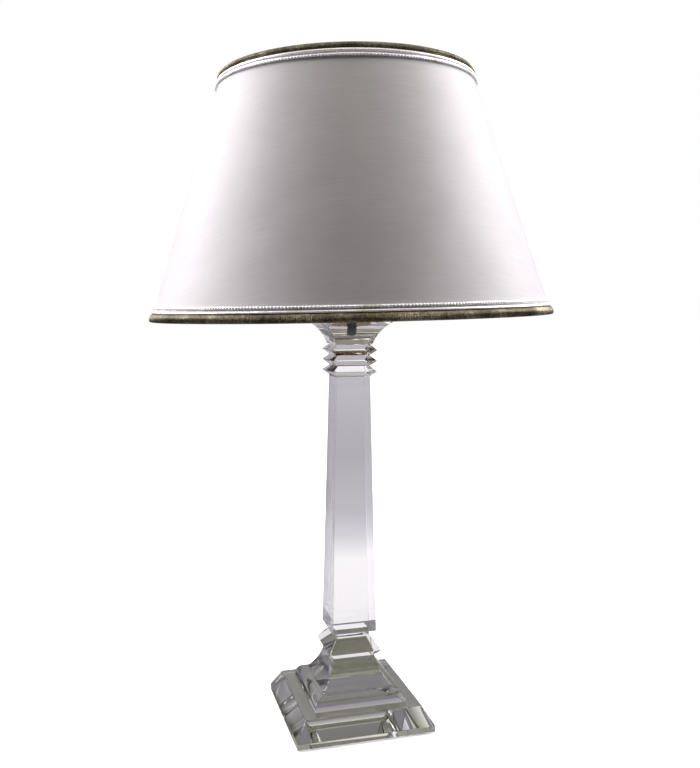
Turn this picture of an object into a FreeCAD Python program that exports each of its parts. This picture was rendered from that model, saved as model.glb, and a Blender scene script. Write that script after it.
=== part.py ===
import FreeCAD, Part
import math
import os

import Sketcher

# A clear-crystal column lamp with a fabric shade, in millimetres. +Z is up, -Y faces the front and the
# origin is the centre of the footprint on the table. The glass pieces are square in plan. The harp,
# the shade and the finial lean together by a small angle, about a pivot on top of the harp saddle.

os.makedirs("parts", exist_ok=True)
doc = FreeCAD.newDocument("crystal_column_lamp")
sheet = doc.addObject("Spreadsheet::Sheet", "Sizes")

# name: size. "half" is half the width of a square section, "low" and "top" are heights off the table.
SIZES = {
    # glass base
    "pad_high": 1.5, "pad_radius": 5.0, "pad_offset": 58.0,
    "plinth_half": 70.0, "plinth_rim_top": 7.6, "plinth_top": 25.4, "plinth_top_half": 59.4,
    "foot_half": 47.0, "ovolo_low": 27.5, "ovolo_radius": 11.0, "ovolo_top": 38.5,
    "foot_top": 67.0, "foot_top_half": 21.4, "cavetto_radius": 62.0,
    "collar_tip_half": 27.6, "collar_tip": 73.3, "neck_half": 17.0, "neck_low": 87.4, "neck_top": 92.4,
    # glass column, rings and capital
    "shaft_half": 22.8, "shaft_top": 353.2, "shaft_top_half": 17.0,
    "ring_half": 22.7, "ring_valley_half": 16.5, "ring_high": 10.7, "ring_tip_low": 5.2,
    "capital_half": 18.8, "capital_edge_low": 411.4, "capital_edge_half": 41.0, "capital_top": 420.0,
    "capital_radius": 41.0, "nipple_hole_radius": 5.0, "nipple_low": 399.0,
    # stem hardware
    "nipple_radius": 4.85, "nipple_bore": 3.1, "nipple_top": 434.0, "thread_chamfer": 0.6,
    "check_ring_radius": 19.0, "check_ring_thick": 1.4, "nut_radius": 8.2, "nut_thick": 3.1,
    "strap_thick": 1.6, "strap_width": 12.0, "hole_play": 0.15,
    # lampholder
    "hub_radius": 7.5, "hub_high": 4.3, "hub_floor": 5.2, "cap_radius": 17.4, "cap_wall": 0.7,
    "cap_bell_top": 438.6, "cap_top": 454.5, "inlet_high": 444.0, "inlet_bore": 3.3,
    "bushing_radius": 4.7, "bushing_flange": 6.6, "bushing_flange_thick": 1.6, "bushing_length": 6.6,
    "set_screw_radius": 1.5, "set_screw_high": 428.5,
    "shell_radius": 16.5, "shell_wall": 0.6, "shell_low": 449.6, "shell_top": 495.0, "shell_lip": 1.3,
    "liner_radius": 15.7, "liner_wall": 0.6, "liner_low": 450.2, "liner_top": 492.0,
    "holder_radius": 14.6, "holder_low": 452.0, "holder_top": 470.0, "holder_flat": 11.3,
    "screw_shell_radius": 13.8, "screw_shell_wall": 0.4, "screw_shell_top": 493.6,
    "screw_shell_floor": 8.0, "tab_half": 5.0, "tab_rise": 2.6, "tab_thick": 0.4, "tab_width": 4.0,
    "terminal_head": 3.2, "terminal_head_thick": 1.8, "terminal_shank": 1.9, "terminal_length": 7.0,
    "terminal_high": 458.0,
    # switch key, turning about an axis along Y
    "key_high": 461.0, "key_shaft_radius": 2.0, "key_play": 0.08, "key_shaft_length": 29.0,
    "key_inner": 7.0, "key_knob_radius": 6.6, "key_knob_length": 14.0, "key_knob_start": 24.0,
    "key_flute_radius": 1.1, "key_window": 3.2,
    # lamp bulb
    "bulb_tip": 473.0, "bulb_tip_radius": 4.6, "bulb_tip_thick": 1.3, "insulator_top": 478.0,
    "bulb_cap_radius": 12.9, "bulb_cap_wall": 0.4, "bulb_cap_top": 499.0, "bulb_thread_depth": 0.7,
    "bulb_pitch": 3.63, "neck_glass_radius": 12.2, "neck_glass_low": 489.0, "neck_glass_top": 501.0,
    "globe_radius": 30.0, "globe_centre": 551.0, "globe_join": 26.0, "globe_wall": 0.8,
    "globe_neck_curve": 143.0,
    "stem_radius": 4.0, "stem_top": 528.0,
    # harp, sleeves and seat
    "lean_angle": 1.39, "harp_half": 30.0, "harp_wire": 1.6, "tab_post_top": 441.0,
    "post_across": 2.0, "post_deep": 4.2, "leg_low": 442.3, "leg_bend": 466.0, "harp_wide": 56.0,
    "bow_start": 520.0, "bow_spring": 572.0, "leg_stop": 5.5,
    "sleeve_radius": 3.75, "sleeve_bore": 2.75, "sleeve_low": 427.3, "sleeve_long": 20.0,
    "seat_low": 629.4, "seat_thick": 1.6, "seat_radius": 9.0, "stud_radius": 3.17, "stud_play": 0.08,
    "stud_top": 643.4, "stud_collar": 5.0, "stud_head": 4.4, "stud_head_thick": 1.6,
    # shade
    "shade_shift": 1.5, "shade_bottom": 412.4, "shade_top": 645.7,
    "wall_bottom_radius": 196.2, "wall_slope": 0.321, "fabric_thick": 0.6, "lining_thick": 0.8,
    "edge_gap": 1.1, "layer_gap": 0.1, "binding_proud": 3.2, "gimp_proud": 2.6,
    "bottom_binding_high": 7.7, "bottom_gimp_high": 6.2, "top_binding_high": 5.2, "top_gimp_high": 7.2,
    "tape_thick": 0.7, "ring_wire": 1.5, "ring_inset": 1.7, "ring_lift": 3.0,
    "hub_washer_radius": 12.0, "hub_washer_hole": 6.8, "hub_washer_thick": 1.6, "hub_washer_low": 631.2,
    "arm_wire": 1.6, "arm_start": 11.8, "arm_bend": 103.0, "arm_bend_radius": 14.0,
    # finial
    "finial_low": 633.0, "bush_radius": 4.6, "bush_bore": 3.4, "bush_high": 8.6,
    "finial_foot": 9.2, "finial_waist": 5.7, "finial_ball": 8.6, "finial_ball_high": 650.2,
    "finial_tip": 661.5, "finial_crown": 2.2, "finial_play": 0.1,
}
for row, (name, amount) in enumerate(SIZES.items(), start=1):
    sheet.set(f"A{row}", name)
    sheet.set(f"B{row}", str(amount))
    sheet.setAlias(f"B{row}", name)
doc.recompute()


def named(text):
    """Turn a sum of plain size names into an expression that reads the sheet."""
    words = text.replace("(", " ( ").replace(")", " ) ").split()
    return " ".join("Sizes." + word if word in SIZES else word for word in words)


def size(text):
    """The number that a sum of size names gives."""
    return float(sheet.evalExpression(named(text)))


def new_body(label):
    body = doc.addObject("PartDesign::Body", label)
    body.Label = label
    return body


def origin_part(body, role):
    return next(item for item in body.Origin.OriginFeatures if item.Role == role)


def new_sketch(body, role, label):
    sketch = body.newObject("Sketcher::SketchObject", label)
    sketch.AttachmentSupport = [(origin_part(body, role), "")]
    sketch.MapMode = "FlatFace"
    return sketch


def arc_between(start, end, radius, side):
    """The arc from start to end that bulges to the left of its chord (side 1) or to the right (-1)."""
    chord = end - start
    half = chord.Length / 2
    left = FreeCAD.Vector(-chord.y, chord.x, 0).normalize()
    centre = (start + end) * 0.5 - left * side * math.sqrt(max(radius ** 2 - half ** 2, 0.0))
    first, last = (start, end) if side < 0 else (end, start)
    angles = [math.atan2(place.y - centre.y, place.x - centre.x) for place in (first, last)]
    if angles[1] < angles[0]:
        angles[1] += 2 * math.pi
    return Part.ArcOfCircle(Part.Circle(centre, FreeCAD.Vector(0, 0, 1), radius), *angles)


def pin(sketch, edge, end, across, up):
    """Hold one end of an edge at a named place."""
    for kind, text, axis in (("DistanceX", across, -2), ("DistanceY", up, -1)):
        number = size(text)
        if abs(number) < 1e-9:
            sketch.addConstraint(Sketcher.Constraint("PointOnObject", edge, end, axis))
            continue
        index = sketch.addConstraint(Sketcher.Constraint(kind, -1, 1, edge, end, number))
        sketch.setExpression(f"Constraints[{index}]", named(text))


def draw(sketch, corners, arcs=None, closed=True):
    """Draw edges through named corners. arcs maps an edge's number to its (radius, side)."""
    arcs = arcs or {}
    places = [FreeCAD.Vector(size(across), size(up), 0) for across, up in corners]
    count = len(corners) if closed else len(corners) - 1
    near_end = []
    for number in range(count):
        start = places[number]
        end = places[(number + 1) % len(places)]
        if number in arcs:
            radius, side = arcs[number]
            sketch.addGeometry(arc_between(start, end, size(radius), side))
        else:
            sketch.addGeometry(Part.LineSegment(start, end))
        drawn = sketch.Geometry[number]
        near_end.append(1 if (drawn.StartPoint - start).Length < 0.001 else 2)
    for number in range(count):
        far_end = 3 - near_end[number]
        following = (number + 1) % count
        if closed or number + 1 < count:
            joint = Sketcher.Constraint("Coincident", number, far_end, following, near_end[following])
            sketch.addConstraint(joint)
        else:
            pin(sketch, number, far_end, *corners[-1])
        pin(sketch, number, near_end[number], *corners[number])
        if number in arcs:
            index = sketch.addConstraint(Sketcher.Constraint("Radius", number, size(arcs[number][0])))
            sketch.setExpression(f"Constraints[{index}]", named(arcs[number][0]))
    return sketch


def add_circle(sketch, across, up, radius):
    number = len(sketch.Geometry)
    centre = FreeCAD.Vector(size(across), size(up), 0)
    sketch.addGeometry(Part.Circle(centre, FreeCAD.Vector(0, 0, 1), size(radius)))
    pin(sketch, number, 3, across, up)
    index = sketch.addConstraint(Sketcher.Constraint("Radius", number, size(radius)))
    sketch.setExpression(f"Constraints[{index}]", named(radius))
    return sketch


def turned(label, corners, arcs=None):
    """A piece turned about the Z axis from half of its section."""
    body = new_body(label)
    sketch = draw(new_sketch(body, "XZ_Plane", label + "_section"), corners, arcs)
    return spin(body, sketch)


def turned_ring(label, radius, high, wire):
    """A ring of round wire about the Z axis."""
    body = new_body(label)
    sketch = add_circle(new_sketch(body, "XZ_Plane", label + "_section"), radius, high, wire)
    return spin(body, sketch)


def spin(body, sketch):
    doc.recompute()
    turn = body.newObject("PartDesign::Revolution", body.Label + "_turn")
    turn.Profile = sketch
    turn.ReferenceAxis = (sketch, ["V_Axis"])
    turn.Angle = 360
    doc.recompute()
    return body


def extruded(label, role, corners, width, arcs=None):
    """A piece of one section, drawn on an origin plane and extended to both sides of it."""
    body = new_body(label)
    sketch = draw(new_sketch(body, role, label + "_section"), corners, arcs)
    doc.recompute()
    pad = body.newObject("PartDesign::Pad", label + "_pad")
    pad.Profile = sketch
    pad.SideType = "Symmetric"
    pad.Length = size(width)
    pad.setExpression("Length", named(width))
    doc.recompute()
    return body


def moulding(label, side, widest, arcs=None):
    """A piece of square plan: its outline is ground once across and once along, so the corners mitre.

    side runs up the right-hand side, from the bottom to the top."""
    arcs = arcs or {}
    left = [(f"0 - ( {half} )", high) for half, high in reversed(side)]
    last = 2 * len(side) - 2
    both = dict(arcs)
    both.update({last - number: arc for number, arc in arcs.items()})
    passes = []
    for role, way in (("XZ_Plane", "across"), ("YZ_Plane", "along")):
        passes.append(extruded(f"{label}_{way}", role, side + left, f"2 * {widest} + 2", both))
    piece = doc.addObject("Part::Common", label)
    piece.Label = label
    piece.Base, piece.Tool = passes
    doc.recompute()
    return piece


def cylinder(label, radius, length, place, direction=FreeCAD.Vector(0, 0, 1)):
    """A round bar from place along direction."""
    bar = doc.addObject("Part::Cylinder", label)
    bar.setExpression("Radius", named(radius))
    bar.setExpression("Height", named(length))
    turn = FreeCAD.Rotation(FreeCAD.Vector(0, 0, 1), direction)
    bar.Placement = FreeCAD.Placement(place, turn)
    return bar


def cut(label, base, *tools):
    """base without its holes."""
    piece = base
    for number, tool in enumerate(tools, start=1):
        piece_label = label if number == len(tools) else f"{label}_stage_{number}"
        following = doc.addObject("Part::Cut", piece_label)
        following.Base = piece
        following.Tool = tool
        piece = following
    piece.Label = label
    doc.recompute()
    return piece


def group(label, pieces):
    """Separate solids kept in one node."""
    whole = doc.addObject("Part::Compound", label)
    whole.Label = label
    whole.Links = pieces
    doc.recompute()
    return whole


PIECES = []
UP = FreeCAD.Vector(0, 0, 1)


def keep(piece, label=None):
    """Hand a finished piece in as a node of its own."""
    if label:
        piece.Label = label
    PIECES.append(piece)
    return piece


def lean(piece):
    """Tilt a piece with the harp, about the middle of the harp saddle's top face."""
    pivot = FreeCAD.Vector(0, 0, size(SADDLE_TOP))
    turn = FreeCAD.Rotation(FreeCAD.Vector(0, 1, 0), -size("lean_angle"))
    piece.Placement = FreeCAD.Placement(FreeCAD.Vector(), turn, pivot)
    return piece


def shade_lean(piece):
    """Tilt a piece with the harp and let it sit off centre by the play in the shade's washer."""
    lean(piece)
    shift = piece.Placement.Rotation.multVec(FreeCAD.Vector(size("shade_shift"), 0, 0))
    piece.Placement = FreeCAD.Placement(shift, FreeCAD.Rotation()).multiply(piece.Placement)
    return piece


# The stack on top of the capital, each name the height where that piece starts.
NUT_LOW = "capital_top + check_ring_thick"
STRAP_LOW = "capital_top + check_ring_thick + nut_thick"
SADDLE_TOP = "capital_top + check_ring_thick + nut_thick + strap_thick"


def glass_base():
    """Plinth with bevelled sides, moulded foot and the V-edged collar that ends in a short neck."""
    plinth = [
        ("plinth_half", "pad_high"),
        ("plinth_half", "plinth_rim_top"),
        ("plinth_top_half", "plinth_top"),
    ]
    keep(moulding("base_plinth", plinth, "plinth_half"))

    foot = [
        ("foot_half", "plinth_top"),
        ("foot_half", "ovolo_low"),
        ("foot_half - ovolo_radius", "ovolo_top"),
        ("foot_top_half", "foot_top"),
    ]
    rounds = {1: ("ovolo_radius", -1), 2: ("cavetto_radius", 1)}
    keep(moulding("foot_block", foot, "foot_half", rounds))

    collar = [
        ("foot_top_half", "foot_top"),
        ("collar_tip_half", "collar_tip"),
        ("neck_half", "neck_low"),
        ("neck_half", "neck_top"),
    ]
    keep(moulding("foot_collar", collar, "collar_tip_half"))

    offset = size("pad_offset")
    pads = []
    for number, (x, y) in enumerate(((1, 1), (1, -1), (-1, -1), (-1, 1)), start=1):
        place = FreeCAD.Vector(x * offset, y * offset, 0)
        pads.append(cylinder(f"foot_pad_{number}", "pad_radius", "pad_high", place))
    keep(group("foot_pads", pads))


def glass_column():
    """Plain tapered square shaft and three loose V-edged squares stacked above it."""
    shaft = [("shaft_half", "neck_top"), ("shaft_top_half", "shaft_top")]
    keep(moulding("column_shaft", shaft, "shaft_half"))
    for number, place in enumerate(("lower", "middle", "upper")):
        low = f"shaft_top + {number} * ring_high"
        ring = [
            ("ring_valley_half", low),
            ("ring_half", f"{low} + ring_tip_low"),
            ("ring_valley_half", f"{low} + ring_high"),
        ]
        keep(moulding(f"ring_{place}", ring, "ring_half"))


def glass_capital():
    """Square bell capital with a thin abacus and a blind hole for the threaded nipple."""
    side = [
        ("capital_half", "shaft_top + 3 * ring_high"),
        ("capital_edge_half", "capital_edge_low"),
        ("capital_edge_half", "capital_top"),
    ]
    bell = moulding("capital_bell", side, "capital_edge_half", {0: ("capital_radius", 1)})
    place = FreeCAD.Vector(0, 0, size("nipple_low"))
    hole = cylinder("capital_hole", "nipple_hole_radius", "capital_top - nipple_low + 1", place)
    keep(cut("capital", bell, hole))


def stem_hardware():
    """Threaded nipple bonded into the capital, with its check ring, nut and harp saddle."""
    nipple = [
        ("nipple_bore", "nipple_low"),
        ("nipple_radius - thread_chamfer", "nipple_low"),
        ("nipple_radius", "nipple_low + thread_chamfer"),
        ("nipple_radius", "nipple_top - thread_chamfer"),
        ("nipple_radius - thread_chamfer", "nipple_top"),
        ("nipple_bore", "nipple_top"),
    ]
    keep(turned("nipple", nipple))

    check_ring = [
        ("nipple_radius + hole_play", "capital_top"),
        ("check_ring_radius", "capital_top"),
        ("check_ring_radius", "capital_top + 0.5 * check_ring_thick"),
        ("check_ring_radius - check_ring_thick", NUT_LOW),
        ("nipple_radius + hole_play", NUT_LOW),
    ]
    keep(turned("check_ring", check_ring))

    nut = doc.addObject("Part::Prism", "lock_nut_blank")
    nut.Polygon = 6
    nut.setExpression("Circumradius", named("nut_radius"))
    nut.setExpression("Height", named("nut_thick"))
    nut.Placement.Base = FreeCAD.Vector(0, 0, size(NUT_LOW))
    through = cylinder("lock_nut_hole", "nipple_radius + 0.05", "nut_thick + 2",
                       FreeCAD.Vector(0, 0, size(NUT_LOW) - 1))
    keep(cut("lock_nut", nut, through))
    harp_saddle()


def harp_saddle():
    """Flat strap with two leaning posts, pressed from one strip."""
    half = "( harp_half + 0.35 * post_across )"
    rise = size("tab_post_top") - size(SADDLE_TOP)
    drift = rise * math.tan(math.radians(size("lean_angle")))
    strap = doc.addObject("Part::Box", "saddle_strap")
    strap.setExpression("Length", named(f"2 * {half}"))
    strap.setExpression("Width", named("strap_width"))
    strap.setExpression("Height", named("strap_thick"))
    corner = FreeCAD.Vector(-size(half), -size("strap_width") / 2, size(STRAP_LOW))
    strap.Placement.Base = corner
    solids = [strap]
    for way, across in (("left", -1), ("right", 1)):
        inner = f"{across} * ( harp_half - 0.5 * post_across )"
        outer = f"{across} * ( harp_half + 0.5 * post_across )"
        post = [
            (inner, STRAP_LOW),
            (outer, STRAP_LOW),
            (f"{outer} - {drift}", "tab_post_top"),
            (f"{inner} - {drift}", "tab_post_top"),
        ]
        solids.append(extruded(f"saddle_post_{way}", "XZ_Plane", post, "post_deep"))
    whole = doc.addObject("Part::MultiFuse", "saddle_blank")
    whole.Shapes = solids
    doc.recompute()
    hole = cylinder("saddle_hole", "nipple_radius + hole_play", "strap_thick + 2",
                    FreeCAD.Vector(0, 0, size(STRAP_LOW) - 1))
    keep(cut("harp_saddle", whole, hole))


def lampholder():
    """Medium screw lampholder: metal cap and shell, fibre liner, moulded body and its metal parts."""
    cap = [
        ("nipple_radius + 0.05", SADDLE_TOP),
        ("hub_radius", SADDLE_TOP),
        ("hub_radius", f"{SADDLE_TOP} + hub_high"),
        ("cap_radius", "cap_bell_top"),
        ("cap_radius", "cap_top"),
        ("cap_radius - cap_wall", "cap_top"),
        ("cap_radius - cap_wall", "cap_bell_top"),
        ("hub_radius - cap_wall", f"{SADDLE_TOP} + hub_floor"),
        ("nipple_radius + 0.05", f"{SADDLE_TOP} + hub_floor"),
    ]
    bells = {2: ("cap_radius - hub_radius + 1", -1), 6: ("cap_radius - hub_radius + 1", 1)}
    blank = turned("cap_blank", cap, bells)
    back = FreeCAD.Vector(0, 1, 0)
    inlet = cylinder("cap_inlet", "bushing_radius + 0.1", "cap_radius",
                     FreeCAD.Vector(0, size("cap_radius") / 2, size("inlet_high")), back)
    side = FreeCAD.Vector(1, 0, 0)
    screw_hole = cylinder("cap_screw_hole", "set_screw_radius + 0.1", "cap_radius",
                          FreeCAD.Vector(0.5, 0, size("set_screw_high")), side)
    keep(cut("socket_cap", blank, inlet, screw_hole))

    bushing = [
        ("inlet_bore", "bushing_flange_thick - bushing_length"),
        ("bushing_radius", "bushing_flange_thick - bushing_length"),
        ("bushing_radius", "0"),
        ("bushing_flange", "0"),
        ("bushing_flange", "bushing_flange_thick"),
        ("inlet_bore", "bushing_flange_thick"),
    ]
    gland = turned("cord_bushing", bushing)
    gland.Placement = FreeCAD.Placement(
        FreeCAD.Vector(0, size("cap_radius") + 0.1, size("inlet_high")), FreeCAD.Rotation(UP, back))
    keep(gland)

    screw = cylinder("set_screw", "set_screw_radius", "hub_radius - nipple_radius + 0.8",
                     FreeCAD.Vector(size("nipple_radius + 0.05"), 0, size("set_screw_high")), side)
    keep(screw)

    shell = [
        ("shell_radius - shell_wall", "shell_low"),
        ("shell_radius", "shell_low"),
        ("shell_radius", "shell_top - shell_lip"),
        ("shell_radius - shell_lip", "shell_top"),
        ("shell_radius - shell_lip - shell_wall", "shell_top"),
        ("shell_radius - shell_wall", "shell_top - shell_lip - shell_wall"),
    ]
    blank = turned("shell_blank", shell, {2: ("shell_lip", -1)})
    front = FreeCAD.Vector(0, -1, 0)
    window_place = FreeCAD.Vector(0, 0, size("key_high"))
    window = cylinder("shell_window", "key_window", "cap_radius", window_place, front)
    keep(cut("socket_shell", blank, window))

    liner = [
        ("liner_radius - liner_wall", "liner_low"),
        ("liner_radius", "liner_low"),
        ("liner_radius", "liner_top"),
        ("liner_radius - liner_wall", "liner_top"),
    ]
    window = cylinder("liner_window", "key_window", "cap_radius", window_place, front)
    keep(cut("shell_liner", turned("liner_blank", liner), window))
    holder_inside(front, side)


def holder_inside(front, side):
    """The moulded body with its switch bore and flats, the screw shell, contact and terminals."""
    block = [
        ("0", "holder_low"),
        ("holder_radius", "holder_low"),
        ("holder_radius", "holder_top"),
        ("0", "holder_top"),
    ]
    blank = turned("holder_blank", block)
    tools = [cylinder("holder_key_bore", "key_shaft_radius + key_play", "holder_radius",
                      FreeCAD.Vector(0, -size("key_inner"), size("key_high")), front)]
    for way, across in (("left", -1), ("right", 1)):
        flat = doc.addObject("Part::Box", f"holder_flat_{way}")
        flat.setExpression("Length", named("holder_radius"))
        flat.setExpression("Width", named("2 * holder_radius"))
        flat.setExpression("Height", named("2 * ( terminal_high - holder_low )"))
        low_x = size("holder_flat") if across > 0 else -size("holder_flat + holder_radius")
        flat.Placement.Base = FreeCAD.Vector(low_x, -size("holder_radius"), size("holder_low") - 1)
        tools.append(flat)
        start = FreeCAD.Vector(across * size("holder_flat - terminal_length"), 0, size("terminal_high"))
        tools.append(cylinder(f"holder_terminal_bore_{way}", "terminal_shank + 0.05", "holder_radius",
                              start, side * across))
    keep(cut("holder_body", blank, *tools))

    shell = [
        ("screw_shell_floor", "holder_top"),
        ("screw_shell_radius", "holder_top"),
        ("screw_shell_radius", "screw_shell_top"),
        ("screw_shell_radius - screw_shell_wall", "screw_shell_top"),
        ("screw_shell_radius - screw_shell_wall", "holder_top + screw_shell_wall"),
        ("screw_shell_floor", "holder_top + screw_shell_wall"),
    ]
    keep(turned("screw_shell", shell))

    tab = [
        ("0 - tab_half", "holder_top"),
        ("tab_half - 2", "holder_top"),
        ("tab_half - 2", "holder_top + tab_thick"),
        ("1 - tab_half", "holder_top + tab_thick"),
        ("tab_half", "holder_top + tab_rise - tab_thick"),
        ("tab_half", "holder_top + tab_rise"),
        ("0 - tab_half", "holder_top + tab_thick"),
    ]
    keep(extruded("centre_contact", "XZ_Plane", tab, "tab_width"))

    screws = []
    for way, across in (("left", -1), ("right", 1)):
        screw = turned(f"terminal_screw_{way}", [
            ("0", "0.1 - terminal_length"),
            ("terminal_shank", "0.1 - terminal_length"),
            ("terminal_shank", "0"),
            ("terminal_head", "0"),
            ("terminal_head", "terminal_head_thick"),
            ("0", "terminal_head_thick"),
        ])
        place = FreeCAD.Vector(across * size("holder_flat"), 0, size("terminal_high"))
        screw.Placement = FreeCAD.Placement(place, FreeCAD.Rotation(UP, side * across))
        screws.append(screw)
    keep(group("terminal_screws", screws))


def switch_key():
    """Turn key: a brass shaft with a fluted black knob on its end, both turning about the Y axis."""
    front = FreeCAD.Vector(0, -1, 0)
    start = FreeCAD.Vector(0, -size("key_inner + 0.2"), size("key_high"))
    keep(cylinder("switch_shaft", "key_shaft_radius", "key_shaft_length", start, front))

    knob = [
        ("key_shaft_radius", "0"),
        ("key_knob_radius", "0"),
        ("key_knob_radius", "key_knob_length - 1.5"),
        ("key_knob_radius - 1.5", "key_knob_length"),
        ("0", "key_knob_length"),
        ("0", "key_inner + 0.2 + key_shaft_length - key_knob_start"),
        ("key_shaft_radius", "key_inner + 0.2 + key_shaft_length - key_knob_start"),
    ]
    body = turned("switch_knob", knob, {2: ("1.5", -1)})
    sketch = new_sketch(body, "XY_Plane", "switch_knob_flute_section")
    add_circle(sketch, "key_knob_radius + 0.4", "0", "key_flute_radius")
    doc.recompute()
    flute = body.newObject("PartDesign::Pocket", "switch_knob_flute")
    flute.Profile = sketch
    flute.Type = "ThroughAll"
    flute.SideType = "Symmetric"
    doc.recompute()
    flutes = body.newObject("PartDesign::PolarPattern", "switch_knob_flutes")
    flutes.Originals = [flute]
    flutes.Axis = (origin_part(body, "Z_Axis"), [""])
    flutes.Angle = 360
    flutes.Occurrences = 12
    body.Tip = flutes
    doc.recompute()
    place = FreeCAD.Vector(0, -size("key_knob_start"), size("key_high"))
    body.Placement = FreeCAD.Placement(place, FreeCAD.Rotation(UP, front))
    keep(body)


def bulb():
    """Frosted lamp bulb: solder tip, insulator, threaded cap, glass stem and hollow globe."""
    tip = [
        ("0", "bulb_tip"),
        ("bulb_tip_radius - 1", "bulb_tip"),
        ("bulb_tip_radius", "bulb_tip + bulb_tip_thick"),
        ("0", "bulb_tip + bulb_tip_thick"),
    ]
    keep(turned("bulb_tip", tip))

    insulator = [
        ("0", "bulb_tip + bulb_tip_thick"),
        ("bulb_tip_radius + 0.6", "bulb_tip + bulb_tip_thick"),
        ("bulb_cap_radius - 1", "insulator_top"),
        ("0", "insulator_top"),
    ]
    keep(turned("bulb_insulator", insulator))

    turns = 4
    side = [("bulb_cap_radius - bulb_thread_depth", "insulator_top")]
    for number in range(turns):
        low = f"insulator_top + 1 + {number} * bulb_pitch"
        side.append(("bulb_cap_radius - bulb_thread_depth", low))
        side.append(("bulb_cap_radius", f"{low} + 0.5 * bulb_pitch"))
    side.append(("bulb_cap_radius - bulb_thread_depth", f"insulator_top + 1 + {turns} * bulb_pitch"))
    side.append(("bulb_cap_radius", "bulb_cap_top"))
    inner = "bulb_cap_radius - bulb_thread_depth - bulb_cap_wall"
    side.append((inner, "bulb_cap_top"))
    side.append((inner, "insulator_top"))
    keep(turned("bulb_cap", side))

    drop = math.sqrt(size("globe_radius") ** 2 - size("globe_join") ** 2)
    inner_join = "globe_join - 0.87 * globe_wall"
    inner_drop = math.sqrt(size("globe_radius - globe_wall") ** 2 - size(inner_join) ** 2)
    neck = "neck_glass_radius - 0.6"
    globe = [
        (neck, "neck_glass_low"),
        (neck, "neck_glass_top"),
        ("globe_join", f"globe_centre - {drop}"),
        ("0", "globe_centre + globe_radius"),
        ("0", "globe_centre + globe_radius - globe_wall"),
        (inner_join, f"globe_centre - {inner_drop}"),
        (f"{neck} - globe_wall", "neck_glass_top"),
        (f"{neck} - globe_wall", "neck_glass_low"),
    ]
    arcs = {
        1: ("globe_neck_curve", 1),
        2: ("globe_radius", -1),
        4: ("globe_radius - globe_wall", 1),
        5: ("globe_neck_curve + globe_wall", -1),
    }
    keep(turned("bulb_globe", globe, arcs))

    stem = [
        ("0", "neck_glass_low"),
        (f"{neck} - globe_wall", "neck_glass_low"),
        ("stem_radius", "neck_glass_low + 10"),
        ("stem_radius - 1.5", "stem_top - 2"),
        ("0", "stem_top"),
    ]
    keep(turned("bulb_stem", stem))


def harp():
    """Wire bow of two legs under a flat seat, with a swivelling stud and two sliding sleeves."""
    legs = []
    for way, across in (("left", -1), ("right", 1)):
        legs.append(harp_leg(way, across))
    keep(lean(group("harp_wire", legs)))

    seat = [
        ("stud_radius + stud_play", "seat_low"),
        ("seat_radius", "seat_low"),
        ("seat_radius", "seat_low + seat_thick"),
        ("stud_radius + stud_play", "seat_low + seat_thick"),
    ]
    keep(lean(turned("harp_seat", seat)))

    stud = [
        ("0", "seat_low - 0.2 - stud_head_thick"),
        ("stud_head", "seat_low - 0.2 - stud_head_thick"),
        ("stud_head", "seat_low - 0.2"),
        ("stud_radius", "seat_low - 0.2"),
        ("stud_radius", "seat_low + seat_thick + 0.2"),
        ("stud_collar", "seat_low + seat_thick + 0.2"),
        ("stud_collar", "hub_washer_low + 0.9"),
        ("stud_radius", "hub_washer_low + 0.9"),
        ("stud_radius", "stud_top - 0.6"),
        ("stud_radius - 0.6", "stud_top"),
        ("0", "stud_top"),
    ]
    keep(lean(turned("harp_stud", stud)))

    for way, across in (("left", -1), ("right", 1)):
        sleeve = [
            ("sleeve_bore", "sleeve_low"),
            ("sleeve_radius", "sleeve_low"),
            ("sleeve_radius", "sleeve_low + sleeve_long - 1"),
            ("sleeve_radius - 0.7", "sleeve_low + sleeve_long"),
            ("sleeve_bore", "sleeve_low + sleeve_long"),
        ]
        piece = lean(turned(f"harp_sleeve_{way}", sleeve))
        aside = piece.Placement.Rotation.multVec(FreeCAD.Vector(across * size("harp_half"), 0, 0))
        piece.Placement = FreeCAD.Placement(aside, FreeCAD.Rotation()).multiply(piece.Placement)
        keep(piece)


def harp_leg(way, across):
    """One leg: straight up, out by an S, straight to the spring line and round to the seat."""
    body = new_body(f"harp_leg_{way}")
    step = size("harp_wide - harp_half")
    rise = size("bow_start - leg_bend")
    bend = (step ** 2 + rise ** 2) / (4 * step)
    end_high = math.sqrt(size("harp_wide") ** 2 - size("leg_stop") ** 2)
    path = [
        (f"{across} * harp_half", "leg_low"),
        (f"{across} * harp_half", "leg_bend"),
        (f"{across} * 0.5 * ( harp_half + harp_wide )", "0.5 * ( leg_bend + bow_start )"),
        (f"{across} * harp_wide", "bow_start"),
        (f"{across} * harp_wide", "bow_spring"),
        (f"{across} * leg_stop", f"bow_spring + {end_high}"),
    ]
    arcs = {1: (f"{bend}", across), 2: (f"{bend}", -across), 4: ("harp_wide", -across)}
    spine = draw(new_sketch(body, "XZ_Plane", f"harp_leg_{way}_path"), path, arcs, closed=False)
    section = new_sketch(body, "XY_Plane", f"harp_leg_{way}_section")
    section.AttachmentOffset = FreeCAD.Placement(FreeCAD.Vector(0, 0, size("leg_low")), FreeCAD.Rotation())
    add_circle(section, f"{across} * harp_half", "0", "harp_wire")
    return piped(body, section, spine)


def piped(body, section, spine):
    doc.recompute()
    pipe = body.newObject("PartDesign::AdditivePipe", body.Label + "_wire")
    pipe.Profile = section
    pipe.Spine = (spine, [f"Edge{number}" for number in range(1, len(spine.Geometry) + 1)])
    doc.recompute()
    return body


def wall(high, out):
    """The radius of a point that stands out from the shade's outer face, at a height."""
    return f"wall_bottom_radius - wall_slope * ( {high} - shade_bottom ) + {out}"


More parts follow.
